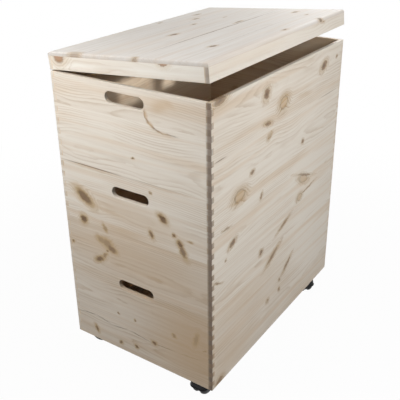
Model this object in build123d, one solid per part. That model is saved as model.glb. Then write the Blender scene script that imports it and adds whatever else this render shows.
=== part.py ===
from build123d import *
import os

# A tall storage bin of glued pine panels on four swivel castors, with a hinged lid.
# Millimetres, +Z up. The origin is on the floor, under the middle of the footprint.
# The short walls face -Y (front) and +Y (back) and carry the hand slots.
# The long walls face -X (left, the hinge side) and +X (right).

# Walls
bin_width = 400.0
bin_depth = 600.0
wall_height = 668.0
wall_thickness = 10.0
finger_size = 12.6
joint_gap = 0.1
corner_radius = 1.5
edge_ease = 1.0

# Hand slots, three above each other in each short wall, unevenly spaced down from the rim
slot_length = 98.0
slot_height = 24.5
slot_side_shift = 3.5
upper_slot_drop = 30.0
middle_slot_drop = 240.0
lower_slot_drop = 475.0
slot_ease = 1.5

# Bottom panel, rebated to a tongue that is held in a groove round the four walls
bottom_thickness = 12.0
bottom_recess = 13.0
tongue_thickness = 6.5
groove_depth = 5.0
groove_gap = 0.2

# Lid: a skirt of four rails under a rounded-over top panel
lid_rail_height = 29.0
lid_rail_thickness = 10.0
lid_panel_thickness = 8.0
lid_round_over = 6.5
lid_gap = 2.0
lid_ajar_angle = 4.9

# Surface hinges on the left wall
hinge_length = 50.0
hinge_leaf_height = 18.0
hinge_leaf_thickness = 1.2
hinge_end_inset = 110.0
knuckle_count = 5
knuckle_radius = 3.0
knuckle_gap = 0.2
barrel_stand_off = 0.3
leaf_parting = 0.8
hinge_pin_radius = 1.5
pin_clearance = 0.05
pin_head_radius = 2.3
pin_head_height = 0.8

# Countersunk screws of the hinges
hinge_screw_count = 3
hinge_screw_pitch = 17.0
hinge_screw_radius = 1.4
hinge_screw_head_radius = 2.7
hinge_screw_length = 8.5
hinge_screw_recess_span = 3.0
hinge_screw_recess_width = 0.7
hinge_screw_recess_depth = 1.1
screw_clearance = 0.05

# Castors
wheel_radius = 25.0
wheel_width = 12.9
wheel_dome_radius = 10.5
wheel_inner_round = 1.2
wheel_side_gap = 0.6
axle_radius = 3.0
axle_end_cover = 3.0
axle_clearance = 0.05
web_thickness = 12.0
web_hub_radius = 22.5
hood_clearance = 1.0
hood_wall = 1.5
lip_reach = 1.5
lip_thickness = 1.6
castor_trail = 21.5
boss_radius = 9.0
boss_rise = 5.0
stem_radius = 3.5
stem_depth = 18.0
stem_end_gap = 0.5
collar_radius = 7.0
collar_thickness = 1.5
swivel_gap = 0.3
plate_size = 42.0
plate_corner_radius = 4.0
plate_thickness = 2.5
plate_hole_pitch = 32.0
castor_side_inset = 48.0
castor_end_inset = 57.0

# Pan-head screws of the castor plates
castor_screw_radius = 1.75
castor_screw_head_radius = 3.5
castor_screw_head_height = 2.2
castor_screw_grip = 9.0
castor_screw_recess_span = 4.0
castor_screw_recess_width = 0.9
castor_screw_recess_depth = 1.5

# Which way each castor's wheels trail from its stem, in degrees round +Z from +X
front_left_trail_angle = 190.0
front_right_trail_angle = 270.0
back_left_trail_angle = 238.0
back_right_trail_angle = 320.0

# Where each castor stands (side of X, side of Y), with its trail angle
castor_places = {
    "front_left": (-1, -1, front_left_trail_angle),
    "front_right": (1, -1, front_right_trail_angle),
    "back_left": (-1, 1, back_left_trail_angle),
    "back_right": (1, 1, back_right_trail_angle),
}
hinge_places = {"front": -1, "back": 1}

# Heights worked out from the castors up
hood_radius = wheel_radius + hood_clearance + hood_wall
boss_top = wheel_radius + hood_radius + boss_rise
plate_underside = boss_top + swivel_gap + collar_thickness
castor_height = plate_underside + plate_thickness
wall_bottom = castor_height - bottom_recess
rim = wall_bottom + wall_height
inner_width = bin_width - 2 * wall_thickness
inner_depth = bin_depth - 2 * wall_thickness

# Lid hinge line, outside the left wall
barrel_offset = knuckle_radius + barrel_stand_off
hinge_x = -bin_width / 2 - barrel_offset
hinge_z = rim + lid_gap / 2
lid_underside = rim + lid_gap
lid_panel_underside = lid_underside + lid_rail_height
hinge_line = Axis((hinge_x, 0, hinge_z), (0, -1, 0))

from_floor = (Align.CENTER, Align.CENTER, Align.MIN)


def block(x_range, y_range, z_range):
    """A box between two limits along each axis."""
    low = [min(r) for r in (x_range, y_range, z_range)]
    high = [max(r) for r in (x_range, y_range, z_range)]
    size = [b - a for a, b in zip(low, high)]
    return Pos(*low) * Box(*size, align=(Align.MIN, Align.MIN, Align.MIN))


def frame_shell(height, thickness, eased):
    """A four-sided frame on z = 0 with rounded corners; eased picks the ends whose edges are eased."""
    outer = extrude(RectangleRounded(bin_width, bin_depth, corner_radius), height)
    opening = Rectangle(bin_width - 2 * thickness, bin_depth - 2 * thickness)
    shell = outer - extrude(opening, height)
    ends = []
    if "bottom" in eased:
        ends += shell.faces().sort_by(Axis.Z)[0].edges()
    if "top" in eased:
        ends += shell.faces().sort_by(Axis.Z)[-1].edges()
    return fillet(ends, edge_ease)


def finger_slots(along_x):
    """The notches cut in a wall's two ends, at the heights where the neighbouring wall has its fingers."""
    count = 2 * round((wall_height / finger_size - 1) / 2) + 1
    step = wall_height / count
    cuts = []
    for k in range(count):
        side_walls_finger = k % 2 == 0
        if side_walls_finger != along_x:
            continue
        # the notches at the two ends of the height run out through the wall's edge
        low = -edge_ease if k == 0 else k * step - joint_gap / 2
        high = wall_height + edge_ease if k == count - 1 else (k + 1) * step + joint_gap / 2
        for side in (-1, 1):
            if along_x:
                ends = (side * inner_width / 2, side * bin_width)
                cuts.append(block(ends, (-bin_depth, bin_depth), (low, high)))
            else:
                ends = (side * inner_depth / 2, side * bin_depth)
                cuts.append(block((-bin_width, bin_width), ends, (low, high)))
    return cuts


wall_shell = frame_shell(wall_height, wall_thickness, ("top", "bottom"))


def bottom_tongue(extra=0.0):
    """The tongue round the bottom panel, or with extra its groove, which is wider above and all round it."""
    size_x = inner_width + 2 * groove_depth + 2 * extra
    size_y = inner_depth + 2 * groove_depth + 2 * extra
    return Pos(0, 0, castor_height) * Box(size_x, size_y, tongue_thickness + extra, align=from_floor)


def bottom_board():
    """The bottom panel: it fits between the walls, with the tongue along its lower edge."""
    size_x = inner_width - 2 * groove_gap
    size_y = inner_depth - 2 * groove_gap
    board = Pos(0, 0, castor_height) * Box(size_x, size_y, bottom_thickness, align=from_floor)
    return board + bottom_tongue() - castor_screw_group(screw_clearance)


def slot_heights():
    """Middle heights of the hand slots, from the top one down."""
    return [rim - drop for drop in (upper_slot_drop, middle_slot_drop, lower_slot_drop)]


def slot_edges(wall, side):
    """The edges round the hand slots, on both faces of a short wall."""
    found = []
    for edge in wall.edges():
        middle = edge.center()
        flat = edge.bounding_box().size.Y < edge_ease / 2
        near = any(abs(middle.Z - z) <= slot_height for z in slot_heights())
        if flat and near and abs(middle.X - side * slot_side_shift) <= slot_length / 2 + edge_ease:
            if abs(middle.Z - rim) > 2 * edge_ease:
                found.append(edge)
    return found


def short_wall(side):
    """The front (side -1) or back (side 1) wall, with its three hand slots."""
    span = (side * inner_depth / 2, side * bin_depth / 2)
    wall = wall_shell & block((-bin_width, bin_width), span, (0, wall_height))
    wall = Pos(0, 0, wall_bottom) * (wall - finger_slots(True))
    outline = SlotOverall(slot_length, slot_height)
    for z in slot_heights():
        face = Plane((side * slot_side_shift, 0, z), x_dir=(1, 0, 0), z_dir=(0, -1, 0)) * outline
        wall -= extrude(face, bin_depth, both=True)
    wall -= bottom_tongue(groove_gap)
    return fillet(slot_edges(wall, side), slot_ease)


def long_wall(side):
    """The left (side -1, hinge side) or right (side 1) wall."""
    span = (side * inner_width / 2, side * bin_width / 2)
    wall = wall_shell & block(span, (-bin_depth, bin_depth), (0, wall_height))
    wall = Pos(0, 0, wall_bottom) * (wall - finger_slots(False))
    wall -= bottom_tongue(groove_gap)
    if side < 0:
        wall -= hinge_screws(-1, screw_clearance)
    return wall


def castor_centre(name):
    """The swivel axis of a castor, in the plane of the floor."""
    side_x, side_y, _ = castor_places[name]
    return side_x * (bin_width / 2 - castor_side_inset), side_y * (bin_depth / 2 - castor_end_inset)


def castor_place(name):
    """From a castor's own frame, with its wheels trailing along +X, to where it stands."""
    x, y = castor_centre(name)
    return Pos(x, y, 0) * Rot(0, 0, castor_places[name][2])


def plate_holes():
    """The corners of the screw pattern about a castor's axis."""
    half = plate_hole_pitch / 2
    return [(a * half, b * half) for a in (-1, 1) for b in (-1, 1)]


def driver_recess(span, width, depth):
    """A tapered cross that a screwdriver fits in, open at z = 0 and reaching up."""
    cross = Box(2 * span, width, depth, align=from_floor) + Box(width, 2 * span, depth, align=from_floor)
    return cross & Cone(span / 2, width / 2, depth, align=from_floor)


def castor_screw(extra):
    """A pan-head screw driven up through the plate; extra widens it into its pilot hole."""
    grip = plate_thickness + castor_screw_grip + extra
    shank = Pos(0, 0, plate_underside) * Cylinder(castor_screw_radius + extra, grip, align=from_floor)
    if extra > 0:
        return shank
    head = Cylinder(castor_screw_head_radius, castor_screw_head_height, align=from_floor)
    head = fillet(head.edges().sort_by(Axis.Z)[0], castor_screw_head_height / 2)
    head -= driver_recess(castor_screw_recess_span, castor_screw_recess_width, castor_screw_recess_depth)
    return Pos(0, 0, plate_underside - castor_screw_head_height) * head + shank


def castor_screw_group(extra=0.0):
    """The screws of all four castors, or their pilot holes."""
    group = []
    for name in castor_places:
        x, y = castor_centre(name)
        group += [Pos(x + a, y + b, 0) * castor_screw(extra) for a, b in plate_holes()]
    return group


def castor_plate(name):
    """Square steel mounting plate with four screw holes and the hole for the riveted stem."""
    screw_hole = castor_screw_radius + screw_clearance
    plate = extrude(RectangleRounded(plate_size, plate_size, plate_corner_radius), plate_thickness)
    for a, b in plate_holes():
        plate -= Pos(a, b, 0) * Cylinder(screw_hole, plate_thickness, align=from_floor)
    plate -= Cylinder(stem_radius + screw_clearance, plate_thickness, align=from_floor)
    x, y = castor_centre(name)
    return Pos(x, y, plate_underside) * plate


def castor_stem(name):
    """Steel stem riveted through the plate, with the collar that the hood's boss turns under."""
    collar = Pos(0, 0, boss_top + swivel_gap) * Cylinder(collar_radius, collar_thickness, align=from_floor)
    low = boss_top - stem_depth
    pin = Pos(0, 0, low) * Cylinder(stem_radius, castor_height - low, align=from_floor)
    x, y = castor_centre(name)
    return Pos(x, y, 0) * (collar + pin)


def across(radius, half_length):
    """A cylinder along the axle, about the wheels' centre."""
    return Pos(castor_trail, 0, wheel_radius) * Rot(90, 0, 0) * Cylinder(radius, 2 * half_length)


def domed_disc(side, radius, width, dome_radius):
    """A disc beside the web, about the axle, with the edge of its outer face rounded over."""
    disc = Cylinder(radius, width, align=from_floor)
    disc = fillet(disc.edges().filter_by(GeomType.CIRCLE).sort_by(Axis.Z)[-1], dome_radius)
    return Pos(castor_trail, 0, wheel_radius) * Rot(-90 * side, 0, 0) * disc


def hood_block(width, wall):
    """Both halves of a domed block about the axle, reaching width out from the middle of the web."""
    grow = hood_clearance + wall
    halves = [
        domed_disc(side, wheel_radius + grow, width, wheel_dome_radius + grow)
        for side in (-1, 1)
    ]
    return halves[0] + halves[1]


castor_half_width = web_thickness / 2 + wheel_side_gap + wheel_width
hood_half_width = castor_half_width + hood_clearance + hood_wall


def castor_hood(name):
    """Moulded hood over both wheels, with the web between them, the swivel boss and the axle's bore."""
    reach = hood_radius + lip_reach
    above_axle = Pos(castor_trail, 0, wheel_radius) * Box(2 * reach, 2 * reach, boss_top, align=from_floor)
    hood = hood_block(hood_half_width, hood_wall) & above_axle
    lip_corner = wheel_dome_radius + hood_clearance + hood_wall + lip_reach
    outline = RectangleRounded(2 * reach, 2 * (hood_half_width + lip_reach), lip_corner)
    hood += Pos(castor_trail, 0, wheel_radius) * extrude(outline, lip_thickness)
    boss_low = boss_top - stem_depth - stem_end_gap - hood_wall
    hood += Pos(0, 0, boss_low) * Cylinder(boss_radius, boss_top - boss_low, align=from_floor)
    hood -= hood_block(hood_half_width - hood_wall, 0) - across(2 * reach, web_thickness / 2)
    hood += across(web_hub_radius, web_thickness / 2)
    bore = stem_depth + stem_end_gap
    hood -= Pos(0, 0, boss_top - bore) * Cylinder(stem_radius + axle_clearance, bore, align=from_floor)
    hood -= across(axle_radius + axle_clearance, web_thickness)
    return castor_place(name) * hood


def castor_axle(name):
    """Steel pin through the web, with one wheel on each end."""
    return castor_place(name) * across(axle_radius, castor_half_width - axle_end_cover)


def castor_wheel(name, side):
    """One of a castor's two wheels: domed outside, with a blind bore for the axle."""
    wheel = domed_disc(side, wheel_radius, wheel_width, wheel_dome_radius)
    flat = wheel.faces().filter_by(GeomType.PLANE).sort_by(Axis.Y)[0 if side > 0 else -1]
    wheel = fillet(flat.edges(), wheel_inner_round)
    wheel = Pos(0, side * (web_thickness / 2 + wheel_side_gap), 0) * wheel
    wheel -= across(axle_radius + axle_clearance, castor_half_width - axle_end_cover + axle_clearance)
    return castor_place(name) * wheel


def along_hinge(radius, low, high):
    """A cylinder about the hinge's own axis, from low to high along Y."""
    rod = Cylinder(radius, high - low, align=from_floor)
    return Pos(0, low, 0) * Rot(-90, 0, 0) * rod


def hinge_middle(name):
    """The middle of a hinge along the wall."""
    return hinge_places[name] * (bin_depth / 2 - hinge_end_inset)


def screw_rows():
    """Places of a leaf's screws along the hinge."""
    first = -(hinge_screw_count - 1) / 2 * hinge_screw_pitch
    return [first + k * hinge_screw_pitch for k in range(hinge_screw_count)]


def leaf_screw(extra):
    """A countersunk screw driven towards +X from x = 0; extra widens it into its hole."""
    head_depth = hinge_screw_head_radius - hinge_screw_radius
    shank = Cylinder(hinge_screw_radius + extra, hinge_screw_length + extra, align=from_floor)
    head = Cone(hinge_screw_head_radius + extra, hinge_screw_radius + extra, head_depth, align=from_floor)
    screw = shank + head
    if extra == 0:
        screw -= driver_recess(hinge_screw_recess_span, hinge_screw_recess_width, hinge_screw_recess_depth)
    return Rot(0, 90, 0) * screw


def hinge_screws(side, extra=0.0):
    """The screws of the box leaves (side -1) or lid leaves (side 1), with the lid shut."""
    group = []
    drop = (hinge_leaf_height + knuckle_radius) / 2
    x = -bin_width / 2 - hinge_leaf_thickness
    for name in hinge_places:
        for row in screw_rows():
            group.append(Pos(x, hinge_middle(name) + row, hinge_z + side * drop) * leaf_screw(extra))
    return group


def hinge_leaf(name, side):
    """A leaf with its share of the knuckles: side -1 for the box, 1 for the lid, with the lid shut."""
    half = hinge_length / 2
    face = (barrel_offset - hinge_leaf_thickness, barrel_offset)
    leaf = block(face, (-half, half), (side * leaf_parting, side * hinge_leaf_height))
    step = hinge_length / knuckle_count
    for k in range(knuckle_count):
        low = -half + k * step
        own = (k % 2 == 0) == (side < 0)
        if own:
            leaf += along_hinge(knuckle_radius, low + knuckle_gap / 2, low + step - knuckle_gap / 2)
        else:
            leaf -= along_hinge(barrel_offset, low - knuckle_gap / 2, low + step + knuckle_gap / 2)
    leaf -= along_hinge(hinge_pin_radius + pin_clearance, -half, half)
    leaf = Pos(hinge_x, hinge_middle(name), hinge_z) * leaf
    return leaf - hinge_screws(side, screw_clearance)


def hinge_pin(name):
    """The pin through a hinge's knuckles, with a peened head at each end."""
    half = hinge_length / 2
    pin = along_hinge(hinge_pin_radius, -half, half)
    for side in (-1, 1):
        ends = sorted((side * half, side * (half + pin_head_height)))
        pin += along_hinge(pin_head_radius, *ends)
    return Pos(hinge_x, hinge_middle(name), hinge_z) * pin


lid_shell = Pos(0, 0, lid_underside) * frame_shell(lid_rail_height, lid_rail_thickness, ("bottom",))
lid_inner_depth = bin_depth - 2 * lid_rail_thickness
lid_inner_width = bin_width - 2 * lid_rail_thickness


def lid_rail(axis_x, side):
    """A rail of the lid's skirt: the long ones run through, the short ones fit between them."""
    height = (lid_underside, lid_panel_underside)
    if axis_x:
        span = (side * lid_inner_depth / 2, side * bin_depth / 2)
        return lid_shell & block((-lid_inner_width / 2, lid_inner_width / 2), span, height)
    span = (side * lid_inner_width / 2, side * bin_width / 2)
    rail = lid_shell & block(span, (-bin_depth, bin_depth), height)
    if side < 0:
        rail -= hinge_screws(1, screw_clearance)
    return rail


def lid_top():
    """The lid's top panel, with its upper edge rounded over."""
    panel = Box(bin_width, bin_depth, lid_panel_thickness, align=from_floor)
    panel = fillet(panel.faces().sort_by(Axis.Z)[-1].edges(), lid_round_over)
    panel &= extrude(RectangleRounded(bin_width, bin_depth, corner_radius), lid_panel_thickness)
    return Pos(0, 0, lid_panel_underside) * panel


# The pieces that stay with the box
pieces = {
    "front_panel": short_wall(-1),
    "back_panel": short_wall(1),
    "left_panel": long_wall(-1),
    "right_panel": long_wall(1),
    "bottom_panel": bottom_board(),
    "hinge_box_screws": hinge_screws(-1),
    "castor_screws": castor_screw_group(),
}
for name in hinge_places:
    pieces[f"{name}_hinge_box_leaf"] = hinge_leaf(name, -1)
    pieces[f"{name}_hinge_pin"] = hinge_pin(name)

for name in castor_places:
    pieces[f"{name}_castor_plate"] = castor_plate(name)
    pieces[f"{name}_castor_stem"] = castor_stem(name)
    pieces[f"{name}_castor_hood"] = castor_hood(name)
    pieces[f"{name}_castor_axle"] = castor_axle(name)
    pieces[f"{name}_castor_left_wheel"] = castor_wheel(name, 1)
    pieces[f"{name}_castor_right_wheel"] = castor_wheel(name, -1)

# The pieces that turn with the lid, made shut and then swung up to where the lid stands ajar
lid_pieces = {
    "lid_panel": lid_top(),
    "lid_front_rail": lid_rail(True, -1),
    "lid_back_rail": lid_rail(True, 1),
    "lid_left_rail": lid_rail(False, -1),
    "lid_right_rail": lid_rail(False, 1),
    "hinge_lid_screws": hinge_screws(1),
}
for name in hinge_places:
    lid_pieces[f"{name}_hinge_lid_leaf"] = hinge_leaf(name, 1)

for name, piece in lid_pieces.items():
    shapes = piece if isinstance(piece, list) else [piece]
    pieces[name] = [shape.rotate(hinge_line, lid_ajar_angle) for shape in shapes]

os.makedirs("parts", exist_ok=True)
for name, piece in pieces.items():
    shapes = piece if isinstance(piece, list) else [piece]
    solids = [solid for shape in shapes for solid in shape.solids()]
    export_step(Compound(children=solids) if len(solids) > 1 else solids[0], f"parts/{name}.step")
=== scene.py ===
from math import radians

import bpy
import numpy as np
from mathutils import Matrix, Vector

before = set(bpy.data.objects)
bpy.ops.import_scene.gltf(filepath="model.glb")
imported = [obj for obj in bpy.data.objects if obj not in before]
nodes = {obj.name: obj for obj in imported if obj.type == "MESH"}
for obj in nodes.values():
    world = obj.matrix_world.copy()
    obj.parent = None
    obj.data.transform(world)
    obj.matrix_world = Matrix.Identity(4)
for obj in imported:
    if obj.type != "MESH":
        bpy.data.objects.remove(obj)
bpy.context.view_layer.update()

# Stage. The bin stands on a pale seamless floor in a plain white studio. The floor only
# shows white to the eye and in gloss; what it throws back at the bin is a soft grey.
floor_half_side = 9.0
floor_grey = (0.42, 0.41, 0.40, 1.0)
floor_roughness = 0.9
floor_shadow_share = 0.028
shadow_fade_start, shadow_fade_end = 0.45, 1.5
studio_white = (1.0, 1.0, 1.0, 1.0)
studio_fill = (1.0, 0.985, 0.96, 1.0)
studio_fill_strength = 0.14


def grid_mesh(name, points):
    """A surface from a (rows, columns, 3) array of points: each cell of the grid is one face."""
    rows, columns = points.shape[:2]
    first = np.arange(rows - 1)[:, None] * columns + np.arange(columns - 1)
    corners = np.stack([first, first + 1, first + columns + 1, first + columns], axis=-1)
    mesh = bpy.data.meshes.new(name)
    mesh.from_pydata(points.reshape(-1, 3).tolist(), [], corners.reshape(-1, 4).tolist())
    made = bpy.data.objects.new(name, mesh)
    bpy.context.scene.collection.objects.link(made)
    return made


class Recipe:
    """A finish built one value at a time: each call adds a node and gives back its result."""

    def __init__(self, finish):
        """Starts from a material or a world, with its nodes turned on."""
        finish.use_nodes = True
        self.finish = finish
        self.tree = finish.node_tree

    @property
    def shader(self):
        """The Principled shader that every material here ends in."""
        return self.tree.nodes["Principled BSDF"]

    def add(self, kind, inputs=(), output=0, **settings):
        """Adds a node; inputs go by socket name or number and are values or nodes' results."""
        made = self.tree.nodes.new("ShaderNode" + kind)
        for key, value in settings.items():
            setattr(made, key, value)
        for key, value in dict(inputs).items():
            self.feed(made.inputs[key], value)
        return made.outputs[output]

    def feed(self, socket, value):
        """Links a result to a socket, or sets the socket to a plain value."""
        if isinstance(value, bpy.types.NodeSocket):
            self.tree.links.new(value, socket)
        else:
            socket.default_value = value

    def math(self, operation, *values):
        """One sum on up to three numbers."""
        return self.add("Math", enumerate(values), operation=operation)

    def remap(self, value, low, high, to_low=0.0, to_high=1.0):
        """Turns low..high into to_low..to_high along an S-curve, and holds the ends."""
        return self.add("MapRange", {"Value": value, "From Min": low, "From Max": high,
                                     "To Min": to_low, "To Max": to_high},
                        interpolation_type="SMOOTHSTEP")


def seen_directly(recipe):
    """1 where the eye, gloss or glass looks straight at the finish, and 0 for other light."""
    rays = recipe.add("LightPath").node.outputs
    seen = recipe.math("MAXIMUM", rays["Is Camera Ray"], rays["Is Glossy Ray"])
    return recipe.math("MAXIMUM", seen, rays["Is Transmission Ray"])


floor_corners = np.array([[[-1.0, -1.0, 0.0], [1.0, -1.0, 0.0]],
                          [[-1.0, 1.0, 0.0], [1.0, 1.0, 0.0]]])
floor = grid_mesh("studio_floor", floor_corners * floor_half_side)
paint = Recipe(bpy.data.materials.new("studio_floor_paint"))
paint.shader.inputs["Base Color"].default_value = floor_grey
paint.shader.inputs["Roughness"].default_value = floor_roughness
from_bin = paint.add("VectorMath", {0: paint.add("TexCoord", output="Object")}, "Value",
                     operation="LENGTH")
white_share = paint.remap(from_bin, shadow_fade_start, shadow_fade_end,
                          1.0 - floor_shadow_share, 1.0)
white_share = paint.math("MULTIPLY", seen_directly(paint), white_share)
white_paint = paint.add("Emission", {"Color": studio_white, "Strength": 1.0})
paint.feed(paint.tree.nodes["Material Output"].inputs["Surface"],
           paint.add("MixShader", {0: white_share, 1: paint.shader.outputs[0], 2: white_paint}))
paint.finish.cycles.emission_sampling = "NONE"
floor.data.materials.append(paint.finish)

world = bpy.data.worlds.new("studio_air")
bpy.context.scene.world = world
air = Recipe(world)
fill = air.tree.nodes["Background"]
fill.inputs["Color"].default_value = studio_fill
fill.inputs["Strength"].default_value = studio_fill_strength
white_air = air.add("Background", {"Color": studio_white, "Strength": 1.0})
air.feed(air.tree.nodes["World Output"].inputs["Surface"],
         air.add("MixShader", {0: seen_directly(air), 1: fill.outputs[0], 2: white_air}))
world.cycles.sampling_method = "NONE"

# Lamps. Two soft boxes above the front's upper edge and two above the long side's light the
# top of each face more than its foot, and one behind the bin lights the lid. Thin strips with
# honeycombs send narrow beams in under the raised lid, one from behind and four from the side.
lamps = [
    # name, place, aimed at, width, height, honeycomb spread in degrees, watts
    ("front_soft_box", (-0.33, -0.94, 1.18), (-0.10, -0.30, 0.65), 0.60, 0.60, 180.0, 6.3),
    ("front_low_box", (-0.25, -1.00, 1.03), (-0.05, -0.30, 0.60), 0.50, 0.50, 180.0, 2.5),
    ("side_soft_box", (1.20, -0.25, 1.20), (0.20, -0.05, 0.60), 0.40, 0.40, 180.0, 6.4),
    ("side_low_box", (1.60, 0.00, 1.17), (0.20, 0.00, 0.60), 0.32, 0.32, 180.0, 6.6),
    ("lid_soft_box", (-0.05, 1.05, 1.35), (0.05, 0.20, 0.78), 0.50, 0.50, 180.0, 8.0),
    ("back_strip", (0.10, 0.70, 0.7946), (0.10, 0.30, 0.732), 0.12, 0.006, 2.0, 3.3),
    ("far_strip", (1.60, 0.32, 1.225), (-0.19, 0.090, 0.5985), 0.05, 0.012, 1.2, 0.0024),
    ("near_high_strip", (1.60, 0.05, 1.253), (-0.19, -0.040, 0.591), 0.13, 0.012, 1.2, 0.0036),
    ("near_low_strip", (1.60, 0.05, 1.169), (-0.19, -0.040, 0.614), 0.13, 0.012, 1.2, 0.0036),
    ("shallow_strip", (1.60, 0.02, 1.099), (-0.19, -0.050, 0.6336), 0.12, 0.012, 1.2, 0.0053),
]
for lamp_name, place, target, width, height, spread, watts in lamps:
    lamp = bpy.data.lights.new(lamp_name, "AREA")
    lamp.shape = "RECTANGLE"
    lamp.size = width
    lamp.size_y = height
    lamp.spread = radians(spread)
    lamp.energy = watts
    stand = bpy.data.objects.new(lamp_name, lamp)
    stand.location = place
    aim = Vector(target) - Vector(place)
    stand.rotation_euler = aim.to_track_quat("-Z", "Y").to_euler()
    stand.visible_camera = False
    bpy.context.scene.collection.objects.link(stand)
# every lamp is tried at every point, so that the strips' narrow beams are never missed
bpy.context.scene.cycles.use_light_tree = False

# Camera. It looks down at the near right corner of the bin from a little above its lid. Its
# three axes are written out, and a small shift puts the bin where it belongs in the frame.
camera_place = (0.80175, -1.20613, 1.08049)
camera_right = (0.84127, 0.54062, 0.00116)
camera_up = (-0.23151, 0.35832, 0.90444)
camera_back = (0.48854, -0.76114, 0.42660)
camera_lens = 57.72
camera_shift = -0.05
camera = bpy.data.cameras.new("studio_camera")
camera.lens = camera_lens
camera.shift_x = camera_shift
camera.shift_y = camera_shift
tripod = bpy.data.objects.new("studio_camera", camera)
axes = Matrix((camera_right, camera_up, camera_back)).transposed().to_4x4()
tripod.matrix_world = Matrix.Translation(camera_place) @ axes
bpy.context.scene.collection.objects.link(tripod)
bpy.context.scene.camera = tripod
bpy.context.scene.view_settings.view_transform = "Standard"

# Walls. Each of the four walls is a panel of knotty pine boards glued edge to edge, planed
# and left bare. The grain runs level, and where a finger of one wall comes through its
# neighbour its end grain shows darker; at the near corner that darkening is deepened with
# painted shade. Painted light and shade also lie in broad patches on the two walls in view.
half_width, half_depth, rim_height, foot_height = 200.0, 300.0, 716.8, 48.8
metres_to_mm = 1000.0
pale_pine = (0.790, 0.730, 0.645, 1.0)
honey_pine = (0.660, 0.500, 0.345, 1.0)
tan_pine = (0.430, 0.297, 0.175, 1.0)
# also the colour of the painted shade line down the front's near edge
resin_and_shade_brown = (0.210, 0.135, 0.080, 1.0)
# also the colour of the broad warm patches of painted shade
sound_knot_and_shade_tan = (0.560, 0.400, 0.245, 1.0)
knot_glow = (0.520, 0.375, 0.200, 1.0)
# the end grain's own brown, also used as painted shade at the near corner
end_grain_and_shade_brown = (0.125, 0.080, 0.052, 1.0)
# a painted warm shade, multiplied into the inner faces of the walls
inner_shade_warmth = (1.0, 0.895, 0.765, 1.0)
bare_pine_roughness = (0.56, 0.70)
bare_pine_gloss = 0.35
furrow_depth = 0.0002


class PatternedFinish(Recipe):
    """A recipe with what a pattern needs: points, noise, ramps, mixed colours and relief."""

    def vector(self, x, y, z=0.0):
        """Three numbers as one point."""
        return self.add("CombineXYZ", enumerate((x, y, z)))

    def scaled(self, point, size):
        """A point times one number."""
        return self.add("VectorMath", {0: point, "Scale": size}, operation="SCALE")

    def noise(self, point, detail=2.0, output=0):
        """Soft noise between 0 and 1, with features about one unit across."""
        return self.add("TexNoise", {"Vector": point, "Scale": 1.0, "Detail": detail}, output)

    def swing(self, chance, size, middle):
        """The middle, less half of size where a chance is 0, and plus half of it where it is 1."""
        return self.math("MULTIPLY_ADD", self.math("SUBTRACT", chance, 0.5), size, middle)

    def ramp(self, value, stops, smooth=True):
        """A colour or grey picked by value from (place, colour) stops."""
        result = self.add("ValToRGB", {0: value})
        ramp = result.node.color_ramp
        ramp.interpolation = "LINEAR" if smooth else "CONSTANT"
        while len(ramp.elements) < len(stops):
            ramp.elements.new(0.5)
        for element, (place, _) in zip(ramp.elements, stops):
            element.position = place
        for element, (_, colour) in zip(ramp.elements, stops):
            is_grey = not isinstance(colour, tuple)
            element.color = (colour, colour, colour, 1.0) if is_grey else colour
        return result

    def mix(self, share, first, second, blend="MIX"):
        """Two colours mixed by share."""
        return self.add("Mix", {0: share, 6: first, 7: second}, 2,
                        data_type="RGBA", blend_type=blend)

    def bump(self, height, distance, strength=1.0):
        """Relief from a height between 0 and 1, with distance in metres."""
        relief = {"Height": height, "Distance": distance, "Strength": strength}
        self.feed(self.shader.inputs["Normal"], self.add("Bump", relief))


def place_in_panel(wood, axes, swung):
    """Millimetres along the grain, across the boards and into the panel, and how squarely the
    face looks along the grain. A piece that is swung about a hinge line is first turned back
    by its angle, and its places are then measured from that line."""
    point = wood.add("TexCoord", output="Object")
    facing = wood.add("TexCoord", output="Normal")
    if swung:
        hinge_line, angle = swung
        turn = {"Rotation": (0.0, -angle, 0.0)}
        point = wood.add("Mapping", {"Vector": point, "Location": hinge_line, **turn},
                         vector_type="TEXTURE")
        facing = wood.add("Mapping", {"Vector": facing, **turn}, vector_type="TEXTURE")
    point = wood.add("SeparateXYZ", {0: wood.scaled(point, metres_to_mm)}).node.outputs
    facing = wood.add("SeparateXYZ", {0: facing}).node.outputs
    return [*(point[axis] for axis in axes), facing[axes[0]]]


# each board's own number is its tone and its panel's seed, each spread far along the noise
tone_spread, seed_spread = 977.0, 31.0


def board_by_board(wood, a, boards, seed):
    """Each board's tone, the height of its middle, a number of its own, and its chances. The
    height in the panel, as a share of the whole, picks tone and middle from a stepped ramp."""
    low, high = boards[0][0], boards[-1][0]
    share_up = wood.math("DIVIDE", wood.math("SUBTRACT", a, low), high - low)
    edges = [(edge - low) / (high - low) for edge, _ in boards]
    tones = [(edge, tone) for edge, (_, tone) in zip(edges[:-1], boards)]
    tone = wood.ramp(share_up, tones, smooth=False)
    middles = [(lower, (lower + upper) / 2) for lower, upper in zip(edges, edges[1:])]
    middle = wood.ramp(share_up, middles, smooth=False)
    middle = wood.math("MULTIPLY_ADD", middle, high - low, low)
    shuffle = wood.math("MULTIPLY_ADD", tone, tone_spread, seed * seed_spread)
    chance = wood.add("TexWhiteNoise", {"W": shuffle}, "Color", noise_dimensions="1D")
    return tone, middle, shuffle, wood.add("SeparateColor", {0: chance}).node.outputs


def stretched(wood, places, per_mm, *third):
    """A point for noise: each place in the panel times its own share, and a third value as is."""
    return wood.vector(*(wood.math("MULTIPLY", place, share)
                         for place, share in zip(places, per_mm)), *third)


def shaken(wood, plane, point, detail, swing):
    """A plane with its points pushed aside by soft noise, by up to half of swing each way."""
    push = wood.add("VectorMath", {0: wood.noise(point, detail, "Color"), 1: (0.5, 0.5, 0.5)},
                    operation="SUBTRACT")
    return wood.add("VectorMath", {0: push, 1: swing, 2: plane}, operation="MULTIPLY_ADD")


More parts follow.
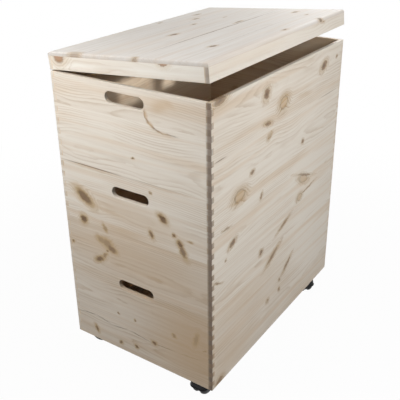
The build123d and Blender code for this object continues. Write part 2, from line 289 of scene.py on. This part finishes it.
def reach(wood, plane, centre_g, centre_a, half_length, half_width, tilt):
    """How far out from an ellipse's centre a point of the plane lies: 1 is on its edge."""
    local = wood.add("Mapping", {"Vector": plane, "Location": (centre_g, centre_a, 0.0),
                                 "Rotation": (0.0, 0.0, radians(tilt)),
                                 "Scale": (half_length, half_width, 1.0)}, vector_type="TEXTURE")
    return wood.add("VectorMath", {0: local}, "Value", operation="LENGTH")


# a mark's depth is full out to its core and gone a little past its edge
mark_end = 1.1
streak_core, pale_and_light_core, warm_and_shade_core = 0.3, 0.2, 0.1


def deepest(wood, share, plane, marks, core):
    """The greatest depth, at each point, of a share so far and of several elliptical marks."""
    for *ellipse, depth in marks:
        mark = wood.remap(reach(wood, plane, *ellipse), core, mark_end, depth, 0.0)
        share = wood.math("MAXIMUM", share, mark)
    return share


# growth rings, in millimetres: a year's width, how far the pith lies across from the board's
# middle and in below its face, and how far it strays from there along the board
year_width = 3.8
pith_across_by_board, pith_across_along_board = 70.0, 30.0
pith_least_depth, pith_depth_by_board, pith_depth_along_board = 14.0, 40.0, 24.0
pith_wanders_per_mm = 0.0045
ring_ripples_per_mm = (0.011, 0.06)
ripple_in_years = 1.5
knot_lift_in_years, knot_lift_reach = 3.0, (0.7, 2.7)
year_stops = [(0.0, 0.25), (0.08, 0.0), (0.5, 0.12), (0.86, 0.85), (0.94, 1.0), (1.0, 0.25)]


def late_wood(wood, g, pushed, below_face, board, nearest, seed):
    """How much of each year's dark late wood shows, and the ripple in it. A point's years are
    its distance from the pith over a year's width, plus a ripple, plus up to three years round
    a knot. The fraction of a year left over picks how dark it is."""
    middle, shuffle, chance = board
    wander = wood.math("MULTIPLY_ADD", g, pith_wanders_per_mm, shuffle)
    wander = wood.noise(wood.vector(wander, 0.0, seed), 1.0, "Color")
    wander = wood.add("SeparateColor", {0: wander}).node.outputs
    pith_across = wood.swing(chance[0], pith_across_by_board, middle)
    pith_across = wood.swing(wander[0], pith_across_along_board, pith_across)
    pith_depth = wood.math("MULTIPLY_ADD", chance[1], pith_depth_by_board, pith_least_depth)
    pith_depth = wood.math("MULTIPLY_ADD", wander[1], pith_depth_along_board, pith_depth)
    from_pith = wood.vector(wood.math("SUBTRACT", pushed, pith_across),
                            wood.math("ADD", below_face, pith_depth))
    radius = wood.add("VectorMath", {0: from_pith}, "Value", operation="LENGTH")
    ripple = wood.noise(stretched(wood, (g, pushed), ring_ripples_per_mm, shuffle), 3.0)
    years = wood.math("MULTIPLY_ADD", ripple, ripple_in_years,
                      wood.math("DIVIDE", radius, year_width))
    lift = wood.remap(nearest, *knot_lift_reach, knot_lift_in_years, 0.0)
    years = wood.math("ADD", years, lift)
    return wood.ramp(wood.math("FRACT", years), year_stops), ripple


# a knot's colours from its heart outwards, as dark knots and as pale ones
knot_reach_on_ramp = 0.66
knot_stops = [
    (0.00, (0.052, 0.020, 0.012, 1.0)),
    (0.22, (0.120, 0.055, 0.028, 1.0)),
    (0.42, (0.100, 0.055, 0.026, 1.0)),
    (0.60, (0.250, 0.150, 0.062, 1.0)),
    (1.00, (0.470, 0.335, 0.170, 1.0)),
]
pale_knot_stops = [
    (0.00, (0.095, 0.052, 0.036, 1.0)),
    (0.30, (0.220, 0.138, 0.084, 1.0)),
    (0.50, (0.290, 0.190, 0.115, 1.0)),
    (0.68, (0.085, 0.048, 0.032, 1.0)),
    (0.88, (0.300, 0.205, 0.125, 1.0)),
]

# how far from a knot, in its own sizes, each thing that it does to the wood round it fades out
no_knot_near = 9.0
push_reach, loops_reach, glow_reach = (0.6, 3.2), (1.0, 2.7), (0.8, 2.4)
sound_knot_edge, sound_rim_width, sound_rim_share = (0.7, 1.15), 0.26, 0.8

# how often each kind of figure repeats, per millimetre along the grain, across it and inwards
slow_waves_per_mm, slow_wave_swing = (0.07, 0.12), (9.0, 5.0, 0.0)
frays_per_mm, fray_swing = (0.16, 0.22), (6.0, 5.0, 0.0)
clouds_per_mm, bands_per_mm = (0.006, 0.02), (0.0022, 0.05)
streaks_per_mm, fibres_per_mm = (0.004, 0.11, 0.08), (0.03, 1.5, 1.5)
furrows_per_mm = (0.02, 0.9, 0.9)

# what each kind of figure adds to the tan of the wood, and where in its noise it comes on
late_wood_in_tan, late_wood_edge = (0.1, 0.7), (0.35, 0.65)
streaks_in_tan, fibres_in_tan, loops_in_tan = 0.48, 0.16, 0.4
honey_edge, gloss_edge, fibre_edge = (0.45, 0.72), (0.2, 0.8), (0.25, 0.75)

# where the inner face's painted warm shade begins, and how the painted shade along the near
# corner and the darker end grain sit in the joints and cut ends
inner_face_depth = (6.0, 9.5)
corner_shade_scallop, darkening_left_below = 3.0, 0.15
cut_end_edge, palest_cut_end = (0.4, 0.9), 0.8


def pine(name, axes, surface, boards, knots=(), sound_knots=(), streaks=(), seams=(),
         pale_streaks_and_light=(), warm_patches_and_shade=(), knot_colours=knot_stops, knot_edge=(0.75, 1.2),
         push=0.75, loops=0.42, glow=0.35, pale=pale_pine, honey=0.5, figure=0.5,
         end_share=0.3, end_fade=(5.0, 12.0), corner_shade_span=None, corner_shade_share=0.70,
         swung=None, seed=0.0):
    """Planed knotty pine, worked out in millimetres.

    axes names the axes along the fibres, across the boards and into the panel, whose outer face
    is at surface. boards lists each board's lower edge and tone, with the panel's upper edge
    last. Growth rings are circles round a pith that wanders along the board. pale is the wood's
    lightest colour, honey how strongly broad bands of honey colour come over it, and figure how
    strongly the rings show.

    A knot is (along, across, half length, half width, tilt, depth of colour), and so is each
    other mark. knot_colours are its colours from the heart outwards, and they fade between the
    two reaches of knot_edge, where 1 is the ellipse's edge. It pushes the rings aside by push
    times their distance from its middle and lifts them into closed loops, which show as strongly
    as loops says, in a warm ring as strong as glow. A sound knot is a light tan disc with a
    brown rim. A streak is a dark line of resin, and a long one down the front's near edge is
    painted shade. A seam is the same but dead straight, where two boards are glued, and a pale
    streak takes tan away; the broad pale ones are painted light. A warm patch is a smudge of
    honey colour over a buried knot, and the broad ones low near the near corner are painted
    shade.

    The cut ends are darkened by end_share, which fades between the two depths of end_fade: the
    end grain's own darker tone, deepened as painted shade on the panels at the near corner and
    on the lid's front edge. The span given for the corner shade is the stretch along the grain
    in which painted shade along the near corner joint comes on, up to the share given for it.
    The inner face gets a painted warm shade. swung is the hinge line and the angle of a piece
    that stands ajar, and seed gives each panel boards of its own.
    """
    wood = PatternedFinish(bpy.data.materials.new(name))
    g, a, t, facing_along = place_in_panel(wood, axes, swung)
    tone, *board = board_by_board(wood, a, boards, seed)
    shuffle = board[1]
    plane = shaken(wood, wood.vector(g, a), stretched(wood, (g, a), slow_waves_per_mm, seed),
                   2.0, slow_wave_swing)
    frayed = shaken(wood, plane, stretched(wood, (g, a), frays_per_mm, seed), 1.0, fray_swing)

    # each knot has one distance, which colours it and pushes the rings round it
    nearest, knot_share, pushed = no_knot_near, 0.0, a
    for is_sound, same_kind in ((False, knots), (True, sound_knots)):
        for *ellipse, depth in same_kind:
            d = reach(wood, frayed, *ellipse)
            nearest = wood.math("MINIMUM", nearest, d)
            if not is_sound:
                knot_share = wood.math("MAXIMUM", knot_share,
                                       wood.remap(d, *knot_edge, depth, 0.0))
            pushed = wood.math("MULTIPLY_ADD", wood.math("SUBTRACT", a, ellipse[1]),
                               wood.remap(d, *push_reach, -push, 0.0), pushed)
    streak_share = deepest(wood, 0.0, plane, streaks, streak_core)
    for seam in seams:
        streak_share = deepest(wood, streak_share, wood.vector(g, a), [seam], streak_core)
    pale_and_light_share = deepest(wood, 0.0, plane, pale_streaks_and_light, pale_and_light_core)

    below_face = wood.math("ABSOLUTE", wood.math("SUBTRACT", t, surface))
    late, ripple = late_wood(wood, g, pushed, below_face, board, nearest, seed)
    soft = wood.noise(stretched(wood, (g, pushed, t), streaks_per_mm), 4.0)
    fibre = wood.noise(stretched(wood, (g, pushed, t), fibres_per_mm), 3.0)
    cloud = wood.noise(stretched(wood, (g, a), clouds_per_mm, shuffle), 2.0)
    broad = wood.noise(stretched(wood, (g, pushed), bands_per_mm, shuffle), 3.0)

    # how tan the bare wood is: late wood in patches, streaks, fibres, the board and its knots,
    # less the pale streaks and the painted light
    halo = wood.remap(nearest, *loops_reach, loops, 0.0)
    late_share = wood.remap(cloud, *late_wood_edge,
                            *(share * figure for share in late_wood_in_tan))
    tan_share = wood.math("MULTIPLY", late, wood.math("ADD", halo, late_share))
    tan_share = wood.swing(soft, streaks_in_tan, tan_share)
    tan_share = wood.swing(fibre, fibres_in_tan, tan_share)
    tan_share = wood.math("ADD", tan_share, wood.math("SUBTRACT", 1.0, tone))
    tan_share = wood.math("MULTIPLY_ADD", halo, loops_in_tan, tan_share)
    tan_share = wood.math("SUBTRACT", tan_share, pale_and_light_share)
    tan_share.node.use_clamp = True
    colour = wood.mix(wood.remap(broad, *honey_edge, 0.0, honey), pale, honey_pine)
    colour = wood.mix(tan_share, colour, tan_pine)

    # knots, streaks and patches over it, with painted shade among the streaks and warm patches,
    # and then the inner face's painted warm shade
    colour = wood.mix(wood.remap(nearest, *glow_reach, glow, 0.0), colour, knot_glow)
    colour = wood.mix(streak_share, colour, resin_and_shade_brown)
    knot_colour = wood.ramp(wood.math("MULTIPLY", nearest, knot_reach_on_ramp), knot_colours)
    colour = wood.mix(knot_share, colour, knot_colour)
    # warm patches, of which the broad low ones near the near corner are painted shade
    for *ellipse, depth in warm_patches_and_shade:
        patch = wood.remap(reach(wood, plane, *ellipse), warm_and_shade_core, mark_end, depth, 0.0)
        colour = wood.mix(patch, colour, sound_knot_and_shade_tan)
    for *ellipse, depth in sound_knots:
        d = reach(wood, frayed, *ellipse)
        colour = wood.mix(wood.remap(d, *sound_knot_edge, depth, 0.0), colour, sound_knot_and_shade_tan)
        rim = wood.math("ABSOLUTE", wood.math("SUBTRACT", d, 1.0))
        rim = wood.remap(rim, 0.0, sound_rim_width, depth * sound_rim_share, 0.0)
        colour = wood.mix(rim, colour, resin_and_shade_brown)
    # painted warm shade on the inner face
    inner_shaded = wood.mix(1.0, colour, inner_shade_warmth, "MULTIPLY")
    colour = wood.mix(wood.remap(below_face, *inner_face_depth), colour, inner_shaded)

    # painted shade along the near corner joint, and cut ends darker by their own end grain and,
    # on the near corner's panels, by painted shade
    if corner_shade_span:
        scallop = wood.swing(ripple, corner_shade_scallop, g)
        corner_shade = wood.math("MULTIPLY", wood.remap(scallop, *corner_shade_span, 0.0, corner_shade_share),
                          wood.remap(below_face, *end_fade, 1.0, darkening_left_below))
        colour = wood.mix(corner_shade, colour, end_grain_and_shade_brown)
    # cut ends: the end grain's own darker tone, deepened as painted shade on the panels at the
    # near corner and on the lid's front edge
    end = wood.remap(wood.math("ABSOLUTE", facing_along), *cut_end_edge)
    end_tone_and_shade = wood.remap(fibre, *fibre_edge, end_share * palest_cut_end, end_share)
    end = wood.math("MULTIPLY", end, end_tone_and_shade)
    end = wood.math("MULTIPLY", end, wood.remap(below_face, *end_fade, 1.0, darkening_left_below))
    colour = wood.mix(end, colour, end_grain_and_shade_brown)

    wood.feed(wood.shader.inputs["Base Color"], colour)
    wood.feed(wood.shader.inputs["Roughness"],
              wood.remap(soft, *gloss_edge, *bare_pine_roughness))
    wood.shader.inputs["Specular IOR Level"].default_value = bare_pine_gloss
    wood.bump(wood.noise(stretched(wood, (g, a, t), furrows_per_mm), 3.0), furrow_depth)
    return wood.finish


def finish_with(material, *names):
    """Puts a material in a piece's slots."""
    for piece_name in names:
        mesh = nodes[piece_name].data
        mesh.materials.clear()
        mesh.materials.append(material)


def chance_knots(seed, along, across, count):
    """A scatter of knots inside two ranges, most of them small: a knot's half width is 3 mm plus
    12 times the square of a chance, and its half length is that times 1 to 1.8."""
    draw = np.random.default_rng(seed)
    size = 3.0 + 12.0 * draw.random(count) ** 2
    return [(float(g), float(a), float(s * stretch), float(s), float(tilt), float(depth))
            for g, a, s, stretch, tilt, depth in zip(
                draw.uniform(*along, count), draw.uniform(*across, count), size,
                draw.uniform(1.0, 1.8, count), draw.uniform(-25, 25, count),
                draw.uniform(0.5, 0.9, count))]


# the front wall's marks: a resin streak curves down from its upper slot, a wavy one runs near
# its foot, and a line of painted shade darkens its near edge all the way up. Broad painted light
# lies on its left half and painted shade on its lower near corner.
# the three lower boards are darker: partly their own tone, partly painted shade of the dimmer foot
front_boards = [(foot_height, 0.66), (118, 0.64), (244, 0.74), (375, 0.93), (519, 1.0),
                (648, 0.85), (rim_height, 1)]
front_knots = [
    (-136, 440, 24, 11, -33, 0.89), (-145, 382, 9, 9, -46, 1.0), (-83, 378, 8, 4, -60, 0.47),
    (81, 449, 11, 7, -33, 1.0), (49, 402, 8, 5, -63, 0.94), (109, 418, 4, 4, -19, 1.0),
    (123, 402, 8, 6, -59, 1.0), (130, 386, 14, 6, -62, 0.71), (-67, 328, 13, 7, -25, 1.0),
    (-79, 338, 14, 10, -20, 0.59), (-96, 342, 12, 7, -20, 0.47), (-107, 289, 13, 6, 28, 0.94),
    (-90, 304, 8, 4, 40, 0.59), (-187, 312, 5, 3, 10, 0.71), (-80, 319, 3, 3, -6, 0.83),
    (149, 415, 5, 2, 6, 0.35), (-137, 79, 9, 4, -68, 0.71), (-61, 70, 4, 5, -31, 0.71),
    (-13, 78, 5, 4, -59, 0.77), (42, 113, 7, 5, -11, 1.0), (100, 158, 5, 4, -41, 0.83),
    (159, 172, 16, 5, 76, 0.71), (181, 152, 4, 2, 12, 0.94), (-62, 154, 3, 2, -40, 0.71),
    (-13, 154, 3, 3, -21, 0.59), (10, 567, 3, 2, 5, 0.83), (52, 500, 3, 2, -10, 0.47),
]
front_streaks_and_edge_shade = [
    (48, 668, 14, 2.7, -80, 0.85), (54, 656, 12, 3.2, -55, 0.9), (65, 646, 13, 3.2, -34, 0.9),
    (80, 639, 15, 2.6, -16, 0.85), (104, 637, 27, 2.0, -1, 0.6),
    (-162, 117, 34, 1.7, 9, 0.6), (-112, 116, 32, 1.7, -11, 0.6), (-60, 114, 34, 1.7, 7, 0.6),
    (0, 114, 40, 1.8, -6, 0.65), (70, 113, 42, 1.7, 3, 0.6), (145, 119, 46, 1.6, 7, 0.55),
    # this last streak, down the near edge, is painted shade
    (197, 383, 345, 7.5, 90, 0.40),
]
front_seams = [(-104, 519.3, 104, 2.0, 0, 0.9), (60, 519.3, 140, 1.0, 0, 0.35)]
# the thin pale streak is the wood's own; the two broad pale patches on the left half are painted
# light
front_pale_streaks_and_light = [(0, 366, 215, 4.0, 2.7, 0.2), (-150, 150, 190, 120, 0, 0.18),
                      (-160, 450, 130, 80, 0, 0.12)]
front_warm_patches_and_shade = [
    (20, 428, 250, 42, -6, 0.36), (0, 325, 280, 95, -5, 0.42), (-72, 424, 62, 7, -3, 0.5),
    (-30, 383, 85, 12, 2, 0.45), (84, 690, 36, 17, 20, 0.55), (108, 697, 22, 9, -25, 0.35),
    (50, 668, 15, 6.0, -74, 0.8), (60, 650, 15, 6.5, -42, 0.8), (90, 637, 30, 4.5, -6, 0.6),
    # the last patch on this line, broad over the lower near corner, is painted shade
    (95, 517, 110, 4.0, 1, 0.45), (-104, 516, 110, 4.5, 0, 0.55), (165, 140, 170, 150, 0, 0.76),
]
# the span given for the corner shade, near the right end, is painted shade along the near corner,
# and the deep cut-end darkening there is partly painted shade
finish_with(pine("front_wall_pine", "XZY", -half_depth, front_boards, front_knots,
                 streaks=front_streaks_and_edge_shade, seams=front_seams, pale_streaks_and_light=front_pale_streaks_and_light,
                 warm_patches_and_shade=front_warm_patches_and_shade, knot_edge=(0.6, 1.55), push=0.6, loops=0.16,
                 glow=0.72, honey=0.45, figure=0.55, end_share=0.85, end_fade=(-4.0, 7.5),
                 corner_shade_span=(187.5, 194.5), corner_shade_share=0.95, seed=1.0),
            "front_panel")

# the right wall's marks: many small slanting knots and a few large sound ones. Broad painted
# light lies towards its back, and painted shade low towards its front and along the near corner.
right_boards = [(foot_height, 0.80), (204, 0.91), (335, 0.99), (466, 0.98), (597, 0.90),
                (rim_height, 1)]
right_knots = [
    (-268, 714, 20, 7, 8, 0.8), (-91, 679, 12, 10, 41, 0.95), (-81, 612, 14, 4, -10, 0.7),
    (-72, 581, 9, 5, 29, 0.3), (95, 513, 5, 5, 42, 0.85), (-143, 523, 7, 4, 11, 0.75),
    (117, 417, 37, 3, -20, 0.6), (-101, 450, 7, 4, 63, 0.7), (140, 372, 30, 2, 8, 0.45),
    (14, 325, 25, 4, 20, 0.6), (-245, 435, 12, 2, -4, 0.55), (-220, 390, 13, 6, 26, 0.85),
    (-246, 361, 3, 3, 14, 0.4), (-94, 302, 7, 6, 15, 0.85), (-37, 263, 26, 6, 27, 0.7),
    (44, 197, 21, 5, 36, 0.7), (6, 171, 4, 4, 22, 0.6), (6, 141, 4, 5, 26, 0.5),
    (-53, 142, 6, 5, -5, 0.35), (-277, 322, 13, 2, -24, 0.55), (-269, 57, 12, 8, 7, 0.8),
    (190, 675, 15, 9, 21, 0.9), (265, 682, 4, 3, 16, 0.8),
]
right_sound_knots = [(-12, 639, 13, 17, -72, 0.55), (-193, 489, 20, 12, 2, 0.55),
                     (112, 409, 24, 9, -20, 0.45), (96, 364, 12, 8, 8, 0.5)]
right_seams = [(229, 596.5, 70, 1.1, 0, 0.75), (-268, 596, 27, 1.5, 0, 0.8)]
# broad patches of painted light towards the back
right_painted_light = [(200, 230, 190, 170, 0, 0.3), (190, 420, 170, 90, 0, 0.2)]
# the two broad patches low towards the front are painted shade; the small one is the wood's own
right_warm_patches_and_shade = [(92, 630, 55, 9, -5, 0.4), (-170, 215, 190, 34, 3, 0.32),
                      (-210, 95, 130, 60, 0, 0.34)]
# the span given for the corner shade, near the front edge, is painted shade along the near corner,
# and the deeper cut-end darkening there is partly painted shade
finish_with(pine("right_wall_pine", "YZX", half_width, right_boards, right_knots,
                 right_sound_knots, seams=right_seams, pale_streaks_and_light=right_painted_light,
                 warm_patches_and_shade=right_warm_patches_and_shade, knot_colours=pale_knot_stops, push=0.6,
                 loops=0.5, end_share=0.62, corner_shade_span=(-296.0, -299.0), seed=2.0),
            "right_panel")

# the left and back walls, with knots left to chance
left_boards = [(foot_height, 0.92), (160, 0.95), (292, 0.90), (430, 0.94), (561, 0.92),
               (rim_height, 1)]
left_knots = chance_knots(5, (-265, 265), (75, 545), 18) + [(-236, 655, 9, 6, 8, 0.7)]
finish_with(pine("left_wall_pine", "YZX", -half_width, left_boards, left_knots,
                 end_share=0.10, seed=3.0),
            "left_panel")
back_boards = [(foot_height, 0.93), (139, 0.90), (266, 0.95), (392, 0.91), (520, 0.94),
               (rim_height, 1)]
back_knots = chance_knots(6, (-170, 170), (75, 545), 14)
finish_with(pine("back_wall_pine", "XZY", half_depth, back_boards, back_knots,
                 end_share=0.10, seed=4.0),
            "back_panel")

# Bottom panel. It is glued up from the same pine and its grain runs front to back. A tongue
# round its lower edge sits in a groove in the four walls.
bottom_face_height = 73.8
bottom_boards = [(-195, 0.92), (-70, 0.95), (62, 0.90), (195, 1)]
finish_with(pine("bottom_pine", "YXZ", bottom_face_height, bottom_boards,
                 chance_knots(7, (-280, 280), (-180, 180), 12), seed=5.0),
            "bottom_panel")

# Lid. A pine panel with its upper edge rounded over is glued on a skirt of four rails.
# Places on it are measured from the hinge line, with the lid shut.
lid_hinge_line = (-0.2033, 0.0, 0.7178)
lid_ajar_angle = radians(4.9)
lid_swing = (lid_hinge_line, lid_ajar_angle)
lid_top_height = 38.0
lid_hinge_side, lid_far_side = 3.3, 403.3
lid_pale = (0.745, 0.710, 0.668, 1.0)
front_rail_pale = (0.785, 0.746, 0.676, 1.0)
orange_knot_stops = [
    (0.00, (0.400, 0.215, 0.110, 1.0)),
    (0.45, (0.340, 0.180, 0.090, 1.0)),
    (0.68, (0.190, 0.100, 0.055, 1.0)),
    (0.88, (0.480, 0.340, 0.220, 1.0)),
]
lid_boards = [(lid_hinge_side, 0.95), (108, 0.93), (236, 0.96), (330, 0.94), (lid_far_side, 1)]
lid_knots = [
    (-80, 165, 10, 5, 10, 0.75), (177, 49, 9, 4, 8, 0.5), (116, 88, 8, 4, 0, 0.6),
    (45, 132, 7, 3, 0, 0.6), (48, 28, 6, 3, 0, 0.5), (93, 226, 14, 3, 0, 0.6),
    (-170, 328, 8, 5, 20, 0.85), (19, 387, 8, 4, 0, 0.6), (163, 401, 8, 6, 0, 0.7),
    (211, 345, 6, 3, 0, 0.5), (244, 298, 9, 5, 0, 0.7), (150, 152, 6, 2, 0, 0.5),
    (-300, 80, 10, 12, 0, 0.25), (-299, 236, 6, 5, 0, 0.25),
]
lid_streaks = [(0, 236, 310, 2.2, 0.4, 0.9), (-270, 100, 30, 2.0, 5, 0.45),
               (60, 108, 240, 1.4, 0, 0.4), (-40, 330, 240, 1.4, 0, 0.4)]
# the lid top's cut-end darkening is deepened as painted shade on its rounded front edge
finish_with(pine("lid_top_pine", "YXZ", lid_top_height, lid_boards, lid_knots,
                 streaks=lid_streaks, pale=lid_pale, honey=0.2, figure=0.2, end_share=0.36,
                 swung=lid_swing, seed=6.0),
            "lid_panel")
finish_with(pine("lid_front_rail_pine", "XZY", -half_depth, [(0.0, 0.92), (lid_top_height, 1)],
                 [(303, 34, 11, 8, 0, 0.85), (34, 37, 17, 21, 0, 0.85)],
                 knot_colours=orange_knot_stops, push=0.3, loops=0.12, glow=0.25,
                 pale=front_rail_pale, honey=0.12, figure=0.35, swung=lid_swing, seed=7.0),
            "lid_front_rail")
finish_with(pine("lid_back_rail_pine", "XZY", half_depth, [(0.0, 0.95), (lid_top_height, 1)],
                 [(120, 15, 7, 5, 10, 0.6)], honey=0.3, figure=0.35, swung=lid_swing, seed=8.0),
            "lid_back_rail")
# this rail's cut-end darkening is deepened as painted shade on the near corner
finish_with(pine("lid_right_rail_pine", "YZX", lid_far_side, [(0.0, 1.0), (lid_top_height, 1)],
                 [(175, 33, 9, 4, 0, 0.3)], honey=0.3, figure=0.35, end_share=0.72,
                 swung=lid_swing, seed=9.0),
            "lid_right_rail")
finish_with(pine("lid_left_rail_pine", "YZX", lid_hinge_side, [(0.0, 0.95), (lid_top_height, 1)],
                 [(-90, 16, 8, 5, 0, 0.6)], honey=0.3, figure=0.35, end_share=0.2,
                 swung=lid_swing, seed=10.0),
            "lid_left_rail")

# Hinges and screws. Steel leaves with rolled knuckles turn on a peened pin and are held by
# steel screws. All have a bright zinc coat, faintly cloudy over fine rolling lines.
zinc_grey = (0.56, 0.57, 0.58, 1.0)
dull_zinc = (0.36, 0.36, 0.37, 1.0)
zinc_clouds_per_mm = 0.35
rolling_lines_per_mm = (1.0, 0.08, 6.0)
lines_in_relief, clouds_in_relief = 0.6, 0.4
zinc_relief = 0.00005
zinc_cloud_edge = (0.35, 0.65)
rolling_line_edge, rolling_line_roughness = (0.2, 0.8), 0.08


def zinc_steel(name, roughness):
    """Zinc plate: cloudy patches a few millimetres wide over fine rolling lines. The lines also
    swing the roughness a little to each side."""
    steel = PatternedFinish(bpy.data.materials.new(name))
    point = steel.scaled(steel.add("TexCoord", output="Object"), metres_to_mm)
    clouds = steel.noise(steel.scaled(point, zinc_clouds_per_mm), 4.0)
    lines = steel.noise(steel.add("VectorMath", {0: point, 1: rolling_lines_per_mm},
                                  operation="MULTIPLY"), 2.0)
    steel.feed(steel.shader.inputs["Base Color"],
               steel.mix(steel.remap(clouds, *zinc_cloud_edge), zinc_grey, dull_zinc))
    steel.feed(steel.shader.inputs["Roughness"],
               steel.remap(lines, *rolling_line_edge, roughness - rolling_line_roughness,
                           roughness + rolling_line_roughness))
    steel.shader.inputs["Metallic"].default_value = 1.0
    relief = steel.math("ADD", steel.math("MULTIPLY", lines, lines_in_relief),
                        steel.math("MULTIPLY", clouds, clouds_in_relief))
    steel.bump(relief, zinc_relief)
    return steel.finish


finish_with(zinc_steel("hinge_zinc", roughness=0.34), *[n for n in nodes if "_hinge_" in n])
finish_with(zinc_steel("screw_zinc", roughness=0.28),
            "hinge_box_screws", "hinge_lid_screws", "castor_screws")

# Castors. Twin wheels of hard black plastic under a moulded black hood, on a zinc-plated
# stem and plate. The hood has a fine matt texture and the treads carry a little dust.
castor_names = ["front_left", "front_right", "back_left", "back_right"]
hood_black = (0.010, 0.010, 0.011, 1.0)
hood_worn = (0.018, 0.018, 0.018, 1.0)
wheel_black = (0.009, 0.009, 0.010, 1.0)
dust_grey = (0.030, 0.028, 0.025, 1.0)
worn_patches_per_mm = 0.16
worn_patch_edge, rough_patch_edge = (0.48, 0.72), (0.3, 0.7)
smoother_by, rougher_by = 0.06, 0.08
plastic_gloss = 0.22
pebble_strength = 0.6


def black_plastic(name, plain, worn, roughness, pebble_size, pebble_depth):
    """Moulded plastic: a skin of pebbles pebble_size millimetres across, with worn or dusty
    patches, which are also the rougher ones."""
    plastic = PatternedFinish(bpy.data.materials.new(name))
    point = plastic.scaled(plastic.add("TexCoord", output="Object"), metres_to_mm)
    pebbles = plastic.add("TexVoronoi", {"Vector": point, "Scale": 1.0 / pebble_size}, "Distance")
    patches = plastic.noise(plastic.scaled(point, worn_patches_per_mm), 5.0)
    plastic.feed(plastic.shader.inputs["Base Color"],
                 plastic.mix(plastic.remap(patches, *worn_patch_edge), plain, worn))
    plastic.feed(plastic.shader.inputs["Roughness"],
                 plastic.remap(patches, *rough_patch_edge, roughness - smoother_by,
                               roughness + rougher_by))
    plastic.shader.inputs["Specular IOR Level"].default_value = plastic_gloss
    plastic.bump(pebbles, pebble_depth, pebble_strength)
    return plastic.finish


finish_with(black_plastic("castor_hood_black", hood_black, hood_worn, roughness=0.52,
                          pebble_size=0.7, pebble_depth=0.00008),
            *[f"{c}_castor_hood" for c in castor_names])
finish_with(black_plastic("castor_wheel_black", wheel_black, dust_grey, roughness=0.46,
                          pebble_size=1.1, pebble_depth=0.00005),
            *[f"{c}_castor_{side}_wheel" for c in castor_names for side in ("left", "right")])
finish_with(zinc_steel("castor_zinc", roughness=0.40),
            *[f"{c}_castor_{part}" for c in castor_names for part in ("plate", "stem", "axle")])
